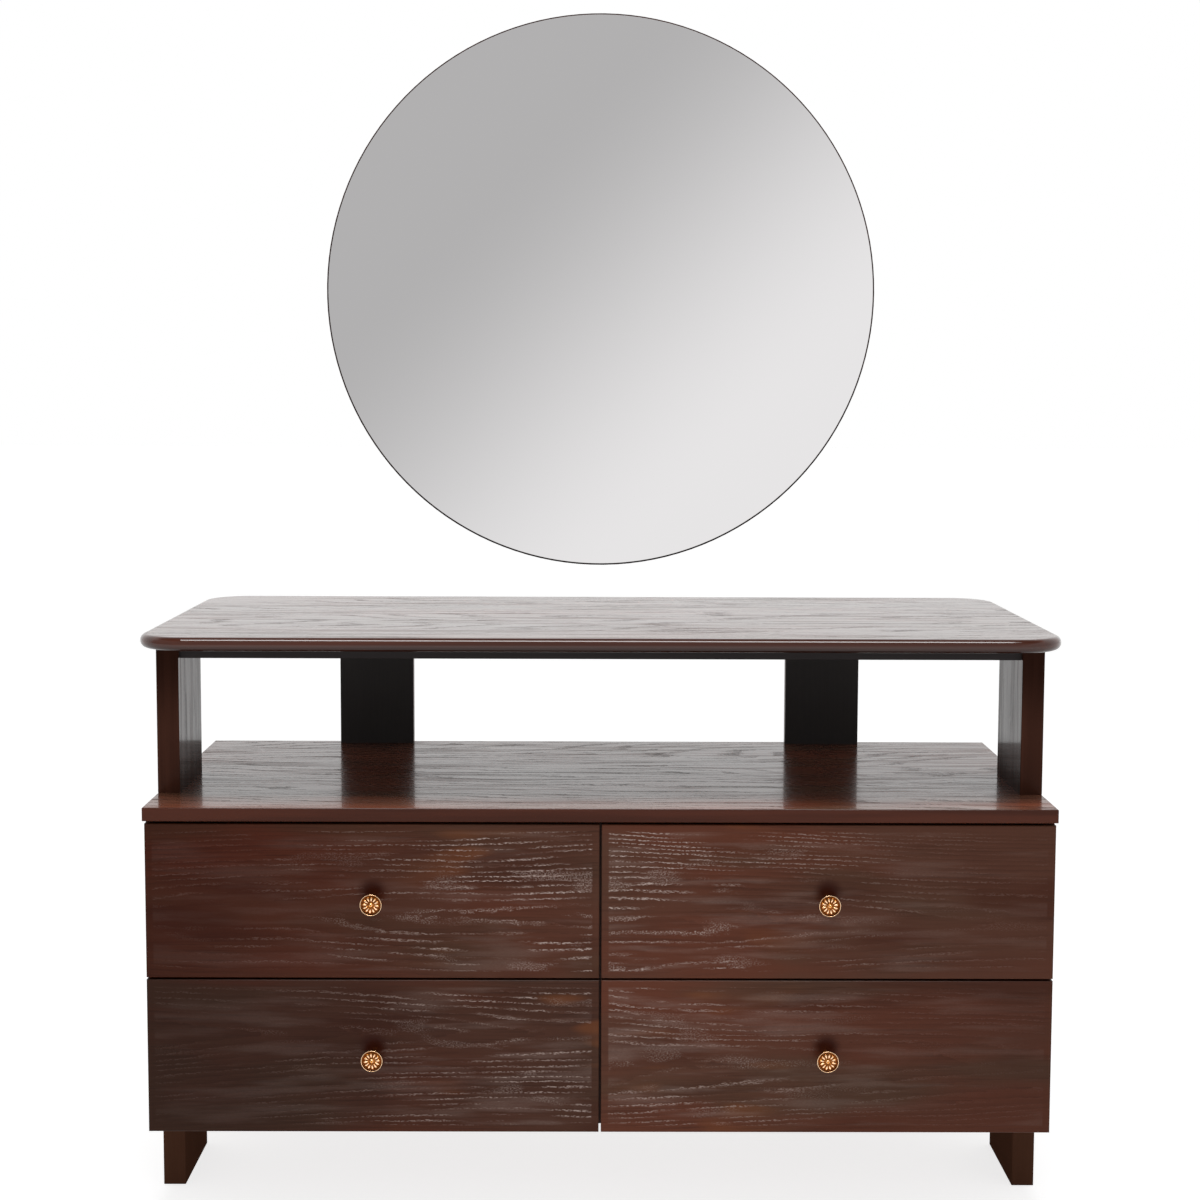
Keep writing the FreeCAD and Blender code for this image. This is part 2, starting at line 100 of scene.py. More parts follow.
class Finish:
    # a new material or world and its nodes

    def __init__(self, name, kind="materials"):
        self.made = getattr(bpy.data, kind).new(name)
        self.made.use_nodes = True
        self.tree = self.made.node_tree
        self.tree.nodes.clear()

    def node(self, kind, settings=None, inputs=None, output=0):
        made = self.tree.nodes.new(kind)
        for key, setting in (settings or {}).items():
            setattr(made, key, setting)
        for key, entry in (inputs or {}).items():
            if isinstance(entry, Link):
                self.tree.links.new(entry.socket, made.inputs[key])
            else:
                made.inputs[key].default_value = entry
        if made.outputs:
            return Link(self, made.outputs[output])

    def point(self, scale=(1, 1, 1)):
        place = self.node("ShaderNodeTexCoord", output="Object")
        return self.stretched(place, scale)

    def stretched(self, vector, scale):
        return self.node("ShaderNodeMapping", {}, {"Vector": vector, "Scale": scale})

    def axes(self, vector):
        split = self.node("ShaderNodeSeparateXYZ", {}, {"Vector": vector}).socket.node
        return [Link(self, split.outputs[i]) for i in range(3)]

    def joined(self, x, y, z):
        return self.node("ShaderNodeCombineXYZ", {}, {0: x, 1: y, 2: z})

    def noise(self, vector, scale=1.0, detail=2.0, rough=0.5, distortion=0.0):
        return self.node("ShaderNodeTexNoise", {"noise_dimensions": "3D"},
                         {"Vector": vector, "Scale": scale, "Detail": detail, "Roughness": rough,
                          "Distortion": distortion}, "Fac")

    def blend(self, factor, low, high, kind="MIX"):
        return self.node("ShaderNodeMix", {"data_type": "RGBA", "blend_type": kind},
                         {0: factor, 6: low, 7: high}, 2)

    def tinted(self, colour, *shares):
        # the colour times a share of red, green and blue, each a number or a link
        linked = any(isinstance(share, Link) for share in shares)
        return self.blend(1.0, colour, self.joined(*shares) if linked else rgb(*shares), "MULTIPLY")

    def bump(self, height, strength, distance):
        return self.node("ShaderNodeBump", {}, {"Height": height, "Strength": strength,
                                                "Distance": distance}, "Normal")

    def surface(self, **sockets):
        shader = self.node("ShaderNodeBsdfPrincipled", {},
                           {name.replace("_", " "): entry for name, entry in sockets.items()}, "BSDF")
        self.output(shader)
        return self.made

    def output(self, shader, kind="Material"):
        self.node("ShaderNodeOutput" + kind, {}, {"Surface": shader})


def rgb(r, g, b):
    return (r, g, b, 1)


def shaded(colour, share):
    return rgb(*[value * share for value in colour[:3]])


def assign(material, *names):
    for name in names:
        held = nodes[name].data.materials
        if len(held) == 0:
            held.append(material)
        for i in range(len(held)):
            held[i] = material


# stained oak veneer

veneer = {
    "red": rgb(0.092, 0.029, 0.016),
    "brown": rgb(0.078, 0.031, 0.019),
    "olive": rgb(0.066, 0.033, 0.020),
    "heartwood": rgb(0.050, 0.0125, 0.0055),
    "dark": rgb(0.028, 0.010, 0.006),
    "amber": rgb(0.160, 0.050, 0.015),
    "knobShadow": rgb(0.024, 0.0045, 0.002),  # painted shadow of the knob on its drawer face
    # litPore: pale pores, partly pale filler and partly their painted glint
    "litPore": rgb(0.310, 0.238, 0.212),
    "shadePore": rgb(0.010, 0.006, 0.005),
    "edge": rgb(0.056, 0.015, 0.008),
    "back": rgb(0.062, 0.022, 0.013),  # plain stain where nobody looks
}
rings = {
    "blunt": 0.00003,  # roundness of the cathedral points
    "opening": 0.68,  # below 1 the points are long
    "wobble": 1.0,
    "ragged": 0.55,
    "poreRise": (0.0, 0.06),
    "poreFall": (0.40, 0.16),
    "lens": (0.030, 0.010),  # distances from the heart between which the speckle begins
}


class Figure:
    # flat sawn grain: rings are close far from the heart and open out into points and lenses along it
    # a cut's seed picks the sheet, heart is where its middle lies, tilt and curve shape the points

    def __init__(self, finish, grain, spread, cut):
        self.finish = finish
        self.x, self.y, self.z = finish.axes(finish.point())
        self.flat = grain + spread
        deep = [way for way in "xyz" if way not in self.flat][0]
        along, across, through = [getattr(self, way) for way in self.flat + deep]
        seed = cut["seed"]
        self.sheet = finish.joined(along + seed, across + seed * 3.7, through + seed * 1.9)
        side = across - cut["heart"]
        lift = (side * side + rings["blunt"]) ** rings["opening"] * cut["curve"] + along * cut["tilt"]
        lift = lift + self.cloud(1.3, 6, 2) * cut["drift"]
        lift = lift + self.cloud(6, 60, 2) * rings["wobble"]
        field = lift + self.cloud(70, 190, 2) * rings["ragged"]
        self.phase = field.math("FRACT")
        self.early = self.phase.between(*rings["poreRise"]) * self.phase.between(*rings["poreFall"])
        self.open = side.math("ABSOLUTE").between(*rings["lens"])
        self.mottle = self.cloud(7, 48, 2)
        self.patch = self.cloud(3.0, 13, 2)
        self.wash = self.cloud(2.3, 8, 2)
        self.fibre = self.cloud(12, 600, 2)
        self.dash = self.cloud(260, 1100, 1)

    def cloud(self, along, across, detail):
        # noise drawn out along the grain
        drawn = self.finish.stretched(self.sheet, (along, across, across))
        return self.finish.noise(drawn, 1, detail, 0.5)

    def ground(self):
        heartwood = self.cloud(3.4, 14, 2).between(0.56, 0.70) * 0.55
        mixed = self.finish.blend(self.wash.between(0.38, 0.56), veneer["red"], veneer["brown"])
        mixed = self.finish.blend(self.patch.between(0.48, 0.66) * 0.75, mixed, veneer["olive"])
        mixed = self.finish.blend(heartwood, mixed, veneer["heartwood"])
        grey = (self.fibre - 0.5) * 0.7 + (self.phase - 0.5) * 0.25
        grey = grey + (self.cloud(3.5, 17, 2) - 0.5) * 0.9 + 0.22
        return self.finish.blend(grey.between(0.1, 0.8) * 0.7, mixed, veneer["dark"])

    def pores(self):
        # crisp dashes along the rings, fine speckle in the lenses at the heart
        broken = self.cloud(11, 80, 2).between(0.36, 0.58)
        dashes = self.dash.between(0.46, 0.55)
        speckle = self.cloud(420, 1000, 2).between(0.50, 0.60) * 0.8
        mixed = dashes + (speckle - dashes) * self.open
        lenses = self.cloud(8.5, 36, 2).between(0.60, 0.67) * speckle * 0.55
        return (self.early * mixed * self.mottle.between(0.34, 0.54) * broken).math("MAXIMUM", lenses)

    def haze(self):
        # filled pores that read as a soft pale mottle
        return self.cloud(7, 64, 3).between(0.46, 0.70) * (self.dash * 0.8 + 0.35)

    def within(self, low, high, corner, bare):
        # 1 on the flat of a board with rounded corners, 0 on its bare edge band
        middle = (low + high) / 2
        half = (high - low) / 2
        first, second = [(getattr(self, way) - getattr(middle, way)).math("ABSOLUTE")
                         - (getattr(half, way) - corner) for way in self.flat]
        a, b = first.math("MAXIMUM", 0), second.math("MAXIMUM", 0)
        reach = (a * a + b * b) ** 0.5 + first.math("MAXIMUM", second).math("MINIMUM", 0) - corner
        return (reach * -1).between(bare * 0.75, bare)


# drawer faces: shine is the pores' painted glint and haze their pale mottle, outer and inner the tones
# at the ends of a face, a painted shade that darkens each face towards its outer side, where redder also
# tints it

fronts = {
    "upper_left": {"seed": 0.3, "heart": 0.405, "tilt": -5, "curve": 265, "drift": 9,
                   "shine": 1.35, "haze": 0.13, "outer": 0.53, "inner": 0.84, "redder": 0.50},
    "upper_right": {"seed": 2.7, "heart": 0.385, "tilt": 5, "curve": 255, "drift": 9,
                    "shine": 1.3, "haze": 0.19, "outer": 0.80, "inner": 0.91, "redder": 0.05},
    "lower_left": {"seed": 5.1, "heart": 0.245, "tilt": 4, "curve": 255, "drift": 10,
                   "shine": 1.0, "haze": 0.16, "outer": 0.38, "inner": 0.69, "redder": 0.15},
    "lower_right": {"seed": 8.3, "heart": 0.205, "tilt": 6, "curve": 245, "drift": 9,
                    "shine": 0.75, "haze": 0.20, "outer": 0.66, "inner": 0.95, "redder": 0.0},
    "band": 0.011,  # sprayed edge band without pores
    "corner": 0.002,
    "knobShadowRise": 0.0145,  # the painted knob shadow is deepest just above the knob
    "knobShadowReach": (0.021, 0.006),
    "knobShadowWidth": 0.8,
}


def frontVeneer(drawer):
    # the pores' painted glint is strongest beside the gap in the middle and dies out towards the outer
    # sides
    look = fronts[drawer]
    low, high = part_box(drawer + "_face")
    finish = Finish(drawer + "Front")
    figure = Figure(finish, "x", "z", look)
    middle, half = (low.x + high.x) / 2, (high.x - low.x) / 2
    inward = -1 if middle > 0 else 1
    inside = figure.within(low, high, fronts["corner"], fronts["band"])
    towards = ((figure.x - middle) * inward / half).between(-1.05, 0.9)
    pores = figure.pores() * inside
    # painted shade: the face darker and redder towards its outer side
    tone = towards * (look["inner"] - look["outer"]) + look["outer"]
    redder = (1.0 - towards) * look["redder"]
    ground = finish.tinted(figure.ground(), tone, (1.0 - redder * 0.7) * tone, (1.0 - redder) * tone)
    # painted shadow round each knob, deepest just above it, which also dims the pores' painted glint
    aside = figure.x - middle
    above = figure.z - ((low.z + high.z) / 2 + fronts["knobShadowRise"])
    away = (aside * aside * fronts["knobShadowWidth"] + above * above) ** 0.5
    knobShadow = away.between(*fronts["knobShadowReach"])
    ground = finish.blend(knobShadow * 0.9, ground, veneer["knobShadow"])
    glow = figure.cloud(6, 26, 1).between(0.60, 0.72) * (towards - 0.55).between(0.0, 0.4) * 0.4
    ground = finish.blend(glow, ground, veneer["amber"])
    # the pale mottle and the pores' painted glint grow towards the gap in the middle, a painted sheen
    haze = figure.haze() * inside * look["haze"] * (towards * 0.7 + 0.3)
    lit = pores * (towards * towards * 0.88 + 0.07) * look["shine"]
    colour = finish.blend(lit.math("MAXIMUM", haze) * (1.0 - knobShadow), ground, veneer["litPore"])
    relief = finish.bump(pores * -1 + figure.fibre * 0.2 * inside, 0.3, 0.0002)
    return finish.surface(Base_Color=colour, Roughness=pores * 0.25 + 0.28, Normal=relief,
                          Specular_IOR_Level=0.06)


for drawer in drawers:
    assign(frontVeneer(drawer), drawer + "_face")

# glossy boards: the pores break the lacquer, so they read as dark lines in what it mirrors
# a painted shade darkens the edge and calm dulls the face: between two heights, and down to what share
# warm makes the wood lighter and less glossy towards the front: from, to, how much lighter, gloss lost

glossUsual = {
    "corner": 0.001, "bare": 0.0012,  # the flat's rounded corners and the band round it
    "tone": 1.0, "edge": veneer["edge"], "edgeGloss": 0.05,
    "body": 0.08, "lacquer": 0.05,  # gloss under the lacquer, and how soft the lacquer is
    "edgeShade": None, "calm": None, "warm": None,
}
supportLook = {
    **glossUsual, "grain": "z", "spread": "y", "heart": -0.08, "tilt": 5, "curve": 160, "drift": 9,
    "gloss": 0.69, "depth": 0.35, "tone": 0.6, "edge": rgb(0.062, 0.0225, 0.0140),
    # painted shade on the supports' edges, darker towards their top under the top board
    "body": 0.0, "lacquer": 0.12, "edgeShade": (0.73, 0.62, 0.42), "calm": (0.55, 0.62, 0.16),
}
glossLooks = {
    "top": {**glossUsual, "piece": "top_board", "grain": "x", "spread": "y",
            "seed": 2.0, "heart": -0.06, "tilt": 6, "curve": 70, "drift": 12,
            "corner": 0.065, "bare": 0.0095, "gloss": 0.70, "depth": 0.7,
            # painted shade on the underside of the top's rounded nose
            "edgeGloss": 0.80, "edgeShade": (0.7565, 0.7650, 0.3)},
    # the shelf's tone of 1.9 is painted light: the same veneer as on the top, lightened where the top
    # board shades it
    "shelf": {**glossUsual, "piece": "shelf_board", "grain": "x", "spread": "y",
              "seed": 5.4, "heart": 0.05, "tilt": -6, "curve": 90, "drift": 12,
              "gloss": 0.56, "depth": 1.1, "tone": 1.9, "warm": (0.10, -0.25, 1.15, 0.15)},
    "side_support_left": {**supportLook, "piece": "side_support_left", "seed": 1.0},
    "side_support_right": {**supportLook, "piece": "side_support_right", "seed": 3.3},
}


def glossVeneer(name, look):
    finish = Finish(name + "Veneer")
    figure = Figure(finish, look["grain"], look["spread"], look)
    inside = figure.within(*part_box(look["piece"]), look["corner"], look["bare"])
    tone, gloss, edgeGloss = look["tone"], look["gloss"], look["edgeGloss"]
    if look["calm"]:
        start, end, share = look["calm"]
        gloss = figure.z.between(start, end) * gloss * (1 - share) + gloss * share
    if look["warm"]:
        start, end, more, lost = look["warm"]
        nearer = figure.y.between(start, end)
        tone = nearer * (more - 1) * tone + tone
        gloss = (1.0 - nearer * lost) * gloss
    face = finish.tinted(figure.ground(), tone, tone, tone)
    edge = finish.blend(figure.cloud(2.2, 70, 3).between(0.36, 0.64), shaded(look["edge"], 0.74),
                        shaded(look["edge"], 1.08))
    # painted shade: the edge darker past one height, and its gloss lower there
    if look["edgeShade"]:
        start, end, share = look["edgeShade"]
        clear = figure.z.between(start, end)
        deep = clear * (1 - share) + share
        edge = finish.tinted(edge, deep, deep, deep)
        edgeGloss = clear * edgeGloss * (1 - share) + edgeGloss * share
    pores = figure.early * figure.dash.between(0.30, 0.60) * figure.mottle.between(0.25, 0.60)
    streaks = (figure.cloud(3.6, 58, 3).between(0.50, 0.62) * 0.6
               + figure.cloud(9, 150, 2).between(0.45, 0.6) * 0.25)
    lines = (pores * 0.7 + streaks) * look["depth"] * inside
    colour = finish.blend(inside, edge, face)
    colour = finish.blend(pores * inside * 0.7, colour, veneer["shadePore"])
    relief = finish.bump(pores * inside * -1, 0.25, 0.0001)
    coat = ((1.0 - lines.math("MINIMUM", 1.0)) * gloss - edgeGloss) * inside + edgeGloss
    return finish.surface(Base_Color=colour, Roughness=pores * inside * 0.2 + 0.22, Normal=relief,
                          Specular_IOR_Level=look["body"], Coat_Weight=coat,
                          Coat_Roughness=look["lacquer"], Coat_IOR=1.5)


for name, look in glossLooks.items():
    assign(glossVeneer(name, look), look["piece"])

# side panels: the same sheet as on the drawer faces, with its pores filled darker

panels = {
    "seeds": {"side_panel_left": 6.0, "side_panel_right": 9.2},
    "cut": {"heart": 0.30, "tilt": 5, "curve": 170, "drift": 10},
    "ground": 0.85, "pores": 0.30, "haze": 0.10,
}


def panelVeneer(name, seed):
    finish = Finish(name + "Veneer")
    figure = Figure(finish, "y", "z", {**panels["cut"], "seed": seed})
    pores = figure.pores()
    ground = finish.tinted(figure.ground(), *[panels["ground"]] * 3)
    filled = (pores * panels["pores"]).math("MAXIMUM", figure.haze() * panels["haze"])
    colour = finish.blend(filled, ground, veneer["litPore"])
    relief = finish.bump(pores * -1 + figure.fibre * 0.2, 0.3, 0.0002)
    return finish.surface(Base_Color=colour, Roughness=pores * 0.25 + 0.30, Normal=relief,
                          Specular_IOR_Level=0.12)


for name, seed in panels["seeds"].items():
    assign(panelVeneer(name, seed), name)

# posts, rail, feet and inner boards: dark stain where the grain hardly shows, and on the posts' and
# rail's fronts a near-black painted shade
# behind its front plane a piece may have the lighter rest colour, from and to a little behind it

plainUsual = {
    "heart": 0.1, "tilt": 5, "curve": 160, "drift": 8,
    "shine": 0.10, "rough": 0.34, "rest": None, "restFrom": 0.0005, "restTo": 0.0015,
}
postLook = {
    # the posts' front colour is a painted shade, the rest colour their stain
    **plainUsual, "grain": "z", "spread": "x", "base": rgb(0.044, 0.040, 0.039), "rest": veneer["back"],
}
plainLooks = {
    "back_post_left": {**postLook, "pieces": ["back_post_left"], "seed": 1.7},
    "back_post_right": {**postLook, "pieces": ["back_post_right"], "seed": 4.0},
    "rail": {**plainUsual, "pieces": ["top_rail_front"], "grain": "x", "spread": "z", "seed": 3.0,
             # the rail's near-black front colour is a painted shade
             "base": rgb(0.023, 0.019, 0.019), "rest": veneer["back"]},
    "foot": {**plainUsual, "grain": "z", "spread": "y", "seed": 4.0,
             "pieces": ["foot_front_left", "foot_front_right", "foot_rear_left", "foot_rear_right"],
             "base": rgb(0.051, 0.022, 0.013), "shine": 0.0, "rough": 0.5},
    "inner": {**plainUsual, "pieces": ["bottom_panel", "centre_divider"], "grain": "y", "spread": "x",
              "seed": 7.0, "base": rgb(0.070, 0.024, 0.015), "shine": 0.20},
}


def plainVeneer(name, look):
    finish = Finish(name + "Veneer")
    figure = Figure(finish, look["grain"], look["spread"], look)
    soft = (figure.patch - 0.5) * 0.9 + (figure.fibre - 0.5) * 0.5 + figure.phase * 0.2 + 0.35
    colour = finish.blend(soft.between(0.0, 1.0) * 0.35, look["base"], shaded(look["base"], 0.55))
    # the front plane keeps the base colour, for posts and rail a painted shade, and behind it the rest
    # colour, their stain
    if look["rest"]:
        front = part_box(look["pieces"][0])[0].y
        rest = finish.blend(soft.between(0.1, 0.9) * 0.6, look["rest"], shaded(look["rest"], 0.5))
        behind = figure.y.between(front + look["restFrom"], front + look["restTo"])
        colour = finish.blend(behind, colour, rest)
    relief = finish.bump(figure.early * figure.dash.between(0.45, 0.6) * -1, 0.3, 0.00012)
    return finish.surface(Base_Color=colour, Roughness=figure.fibre * 0.1 + look["rough"],
                          Normal=relief, Specular_IOR_Level=look["shine"])


for name, look in plainLooks.items():
    assign(plainVeneer(name, look), *look["pieces"])
print("veneer done")

# drawer boxes of pale lacquered hardwood, a thin hardboard back behind the carcass

boxWood = {
    "pale": rgb(0.52, 0.34, 0.17), "warm": rgb(0.42, 0.25, 0.115), "line": rgb(0.25, 0.13, 0.055),
    "cut": {"heart": 0.03, "tilt": 4, "curve": 230, "drift": 7},
}
hardboard = {"light": rgb(0.235, 0.135, 0.065), "deep": rgb(0.135, 0.072, 0.034)}


def paleWood(name, grain, spread, seed):
    finish = Finish(name)
    figure = Figure(finish, grain, spread, {**boxWood["cut"], "seed": seed})
    colour = finish.blend(figure.patch.between(0.35, 0.65), boxWood["pale"], boxWood["warm"])
    lines = figure.phase.between(0.55, 0.98) * 0.35 + figure.fibre.between(0.5, 0.8) * 0.3
    colour = finish.blend(lines, colour, boxWood["line"])
    relief = finish.bump(figure.fibre, 0.15, 0.0002)
    return finish.surface(Base_Color=colour, Roughness=figure.fibre * 0.15 + 0.42, Normal=relief,
                          Specular_IOR_Level=0.35)


def pressedBoard(name):
    # tangled fibres and a faint mottle
    finish = Finish(name)
    point = finish.point()
    fibres = finish.noise(point, 900, 4, 0.7, 1.5)
    mottle = finish.noise(point, 60, 3, 0.6)
    shade = (fibres * 0.6 + mottle * 0.5).between(0.35, 0.75)
    colour = finish.blend(shade, hardboard["light"], hardboard["deep"])
    return finish.surface(Base_Color=colour, Roughness=mottle * 0.2 + 0.55,
                          Normal=finish.bump(fibres, 0.2, 0.0002), Specular_IOR_Level=0.25)


assign(pressedBoard("hardboard"), "back_panel")
for i, drawer in enumerate(drawers):
    sides = paleWood(drawer + "BoxSides", "y", "z", i + 0.4)
    assign(sides, drawer + "_side_left", drawer + "_side_right")
    assign(paleWood(drawer + "BoxBack", "x", "z", i + 4.1), drawer + "_back")
    assign(paleWood(drawer + "BoxFloor", "x", "y", i + 7.7), drawer + "_bottom")
print("drawer boxes done")

# runners, screws and hangers

plating = {
    "zinc": {"base": rgb(0.56, 0.575, 0.59), "rough": 0.22, "spangle": 90},
    "steel": {"base": rgb(0.50, 0.49, 0.47), "rough": 0.3, "spangle": 300},
    "worn": rgb(0.45, 0.465, 0.48),
    "drawn": (1, 0.04, 1),  # the rubbed marks run along the runners
}


def metal(name, look):
    finish = Finish(name)
    cloud = finish.noise(finish.point(), look["spangle"], 3, 0.6)
    rub = finish.noise(finish.point(plating["drawn"]), look["spangle"] * 12, 2, 0.5)
    colour = finish.blend(cloud.between(0.35, 0.7), look["base"], plating["worn"])
    roughness = cloud * 0.15 + rub * 0.1 + look["rough"]
    return finish.surface(Base_Color=colour, Metallic=1.0, Roughness=roughness,
                          Normal=finish.bump(rub, 0.1, 0.0001))


zinc = metal("zincPlate", plating["zinc"])
steel = metal("screwSteel", plating["steel"])
assign(zinc, "runner_outer", "mirror_hangers")
for drawer in drawers:
    assign(zinc, drawer + "_runner_middle", drawer + "_runner_inner")
    assign(steel, drawer + "_knob_screw")
print("metal done")

# rosette knobs: turned head on a waisted neck, rolled rim, teardrop petals round a boss
# radii and heights above the drawer face in millimetres, turns in degrees, seat is the petals' height

knobLook = {
    "profile": [(0, 0), (8.5, 0), (8.5, 0.8), (7.7, 1.9), (6.3, 3.0), (5.6, 4.6), (5.5, 7.0), (5.9, 9.4),
                (7.2, 12.0), (9.2, 14.5), (11.3, 16.1), (13.3, 16.8), (14.1, 17.5), (14.3, 18.7),
                (14.25, 20.0), (14.05, 20.6), (13.75, 20.8), (13.4, 20.5), (13.25, 19.6), (13.0, 18.3),
                (12.4, 17.7), (11.5, 17.8), (10.9, 18.4), (9.6, 18.8), (4.4, 19.1), (2.8, 19.5),
                (2.5, 20.6), (1.9, 21.4), (1.0, 21.9), (0, 22.0)],
    "steps": 72,
    "petals": 12, "inner": 3.9, "outer": 11.3, "wide": 4.3, "tall": 2.1, "taper": 0.36, "seat": 18.9,
    "turns": {"upper_left": 6, "upper_right": 19, "lower_left": 24, "lower_right": 11},
    "high": rgb(1.0, 0.71, 0.45), "mid": rgb(0.66, 0.27, 0.045), "low": rgb(0.21, 0.065, 0.012),
    "hollows": (19.0, 20.1), "ridges": (20.1, 20.8), "tip": (21.9, 21.1), "neck": (17.5, 16.0),
}


def antiqueBrass():
    # rubbed bright on the high spots, brown patina in the hollows
    finish = Finish("antiqueBrass")
    x, y, z = finish.axes(finish.point())
    out = (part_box("upper_left_knob")[1].y - y) * 1000  # millimetres in front of the drawer faces
    grime = finish.noise(finish.point(), 700, 3, 0.6)
    rub = finish.noise(finish.point(), 260, 2, 0.5)
    height = out + (grime - 0.5) * 0.7 + (rub - 0.5) * 0.6
    colour = finish.blend(height.between(*knobLook["hollows"]), knobLook["low"], knobLook["mid"])
    rubbed = height.between(*knobLook["ridges"]) * out.between(*knobLook["tip"])
    colour = finish.blend(rubbed, colour, knobLook["high"])
    colour = finish.blend(out.between(*knobLook["neck"]), colour, knobLook["mid"])
    return finish.surface(Base_Color=colour, Metallic=1.0, Roughness=grime * 0.16 + 0.14,
                          Normal=finish.bump(grime, 0.2, 0.0001))


def link(name, mesh):
    piece = bpy.data.objects.new(name, mesh)
    bpy.context.scene.collection.objects.link(piece)
    return piece


def finished(name, shape, material):
    # a smooth shaded object from the shape
    for face in shape.faces:
        face.smooth = True
    mesh = bpy.data.meshes.new(name)
    shape.to_mesh(mesh)
    shape.free()
    mesh.materials.append(material)
    return link(name, mesh)


def rosetteKnob(drawer, turn):
    low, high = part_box(drawer + "_knob")
    shape = bmesh.new()
    corners = [shape.verts.new((r / 1000, -out / 1000, 0)) for r, out in knobLook["profile"]]
    edges = [shape.edges.new(pair) for pair in zip(corners, corners[1:])]
    bmesh.ops.spin(shape, geom=corners + edges, cent=(0, 0, 0), axis=(0, 1, 0), angle=math.tau,
                   steps=knobLook["steps"], use_merge=True)
    bmesh.ops.remove_doubles(shape, verts=shape.verts, dist=0.000005)
    bmesh.ops.recalc_face_normals(shape, faces=shape.faces)
    middle = (knobLook["inner"] + knobLook["outer"]) / 2000
    long = (knobLook["outer"] - knobLook["inner"]) / 2000
    for i in range(knobLook["petals"]):
        petal = bmesh.ops.create_uvsphere(shape, u_segments=16, v_segments=10, radius=1)["verts"]
        bmesh.ops.scale(shape, vec=(knobLook["wide"] / 2000, knobLook["tall"] / 1000, long), verts=petal)
        for vert in petal:
            share = (vert.co.z / long + 1) / 2
            vert.co.x *= knobLook["taper"] + (1 - knobLook["taper"]) * share
        bmesh.ops.translate(shape, vec=(0, -knobLook["seat"] / 1000, middle), verts=petal)
        turned = Matrix.Rotation(math.radians(turn) + math.tau * i / knobLook["petals"], 3, "Y")
        bmesh.ops.rotate(shape, cent=(0, 0, 0), verts=petal, matrix=turned)
    place = ((low.x + high.x) / 2, high.y, (low.z + high.z) / 2)
    bmesh.ops.translate(shape, vec=place, verts=shape.verts)
    piece = finished(drawer + "_rosette", shape, brass)
    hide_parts(drawer + "_knob")
    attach(piece, drawer + "_drawer")


brass = antiqueBrass()
for drawer, turn in knobLook["turns"].items():
    rosetteKnob(drawer, turn)
print("knobs done")

# wall mirror: silvered glass with a polished edge on a dark stained round board

mirrorLook = {
    "silver": rgb(0.965, 0.950, 0.955), "rim": rgb(0.020, 0.008, 0.006),
    "sealFrom": 0.0011, "sealTo": 0.0007,  # distances inside the glass's edge
    "rawLight": rgb(0.30, 0.19, 0.10), "rawDeep": rgb(0.20, 0.12, 0.06),
    "rawFrom": 0.0012, "rawTo": 0.0005,  # distances inside the board's back
}


def mirrorGlass():
    # silvered behind, its ground edge sealed dark
    finish = Finish("mirrorGlass")
    low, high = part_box("mirror_glass")
    point = finish.point()
    x, y, z = finish.axes(point)
    up = z - (low.z + high.z) / 2
    out = (x * x + up * up) ** 0.5
    sealed = out.between(high.x - mirrorLook["sealFrom"], high.x - mirrorLook["sealTo"])
    mist = finish.noise(point, 14, 2, 0.5)
    colour = finish.blend(sealed, mirrorLook["silver"], mirrorLook["rim"])
    return finish.surface(Base_Color=colour, Metallic=1.0 - sealed, Roughness=mist * 0.02 + sealed * 0.4,
                          Specular_IOR_Level=0.12)


def mirrorBacking():
    # stained on the edge and the face, bare board behind
    finish = Finish("mirrorBacking")
    point = finish.point()
    x, y, z = finish.axes(point)
    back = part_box("mirror_board")[1].y
    behind = y.between(back - mirrorLook["rawFrom"], back - mirrorLook["rawTo"])
    fibres = finish.noise(point, 420, 4, 0.7)
    mottle = finish.noise(point, 38, 4, 0.65)
    raw = finish.blend((fibres * 0.7 + mottle * 0.4).between(0.38, 0.72), mirrorLook["rawLight"],
                       mirrorLook["rawDeep"])
    stained = finish.blend(mottle.between(0.50, 0.72) * 0.5, mirrorLook["rim"], veneer["heartwood"])
    return finish.surface(Base_Color=finish.blend(behind, stained, raw),
                          Roughness=behind * 0.2 + fibres * 0.1 + 0.5,
                          Normal=finish.bump(fibres * behind, 0.15, 0.0001), Specular_IOR_Level=0.08)


assign(mirrorGlass(), "mirror_glass")
assign(mirrorBacking(), "mirror_board")
print("mirror done")

# small fixings: pins round the thin back panel

pinLook = {"radius": 0.0024, "tall": 0.0008, "inset": 0.012, "spacing": 0.11}


def backPins():
    low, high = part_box("back_panel")
    left, right = low.x + pinLook["inset"], high.x - pinLook["inset"]
    bottom, top = low.z + pinLook["inset"], high.z - pinLook["inset"]
    wide, tall = high.x - low.x - 2 * pinLook["inset"], high.z - low.z - 2 * pinLook["inset"]
    across, up = round(wide / pinLook["spacing"]), round(tall / pinLook["spacing"])
    places = [(left + wide * i / across, edge) for i in range(across + 1) for edge in (bottom, top)]
    places += [(edge, bottom + tall * i / up) for i in range(1, up) for edge in (left, 0, right)]
    shape = bmesh.new()
    for x, z in places:
        head = bmesh.ops.create_uvsphere(shape, u_segments=12, v_segments=6, radius=pinLook["radius"])
        head = head["verts"]
        bmesh.ops.scale(shape, vec=(1, pinLook["tall"] / pinLook["radius"], 1), verts=head)
        bmesh.ops.translate(shape, vec=(x, high.y, z), verts=head)
    piece = finished("back_pins", shape, steel)
    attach(piece, "carcass")


backPins()
print("pins done")

# camera at the photograph's viewing angle: focal length and optical axis in pixels of a 1200 frame

view = {
    "place": (-0.01324, -2.75358, 1.08325), "pitch": -0.08338, "yaw": -0.00452, "roll": 0.00336,
    "focal": 1942.24, "axis": (600.11, 559.66), "frame": 1200, "sensor": 36, "clip": (0.05, 200),
}


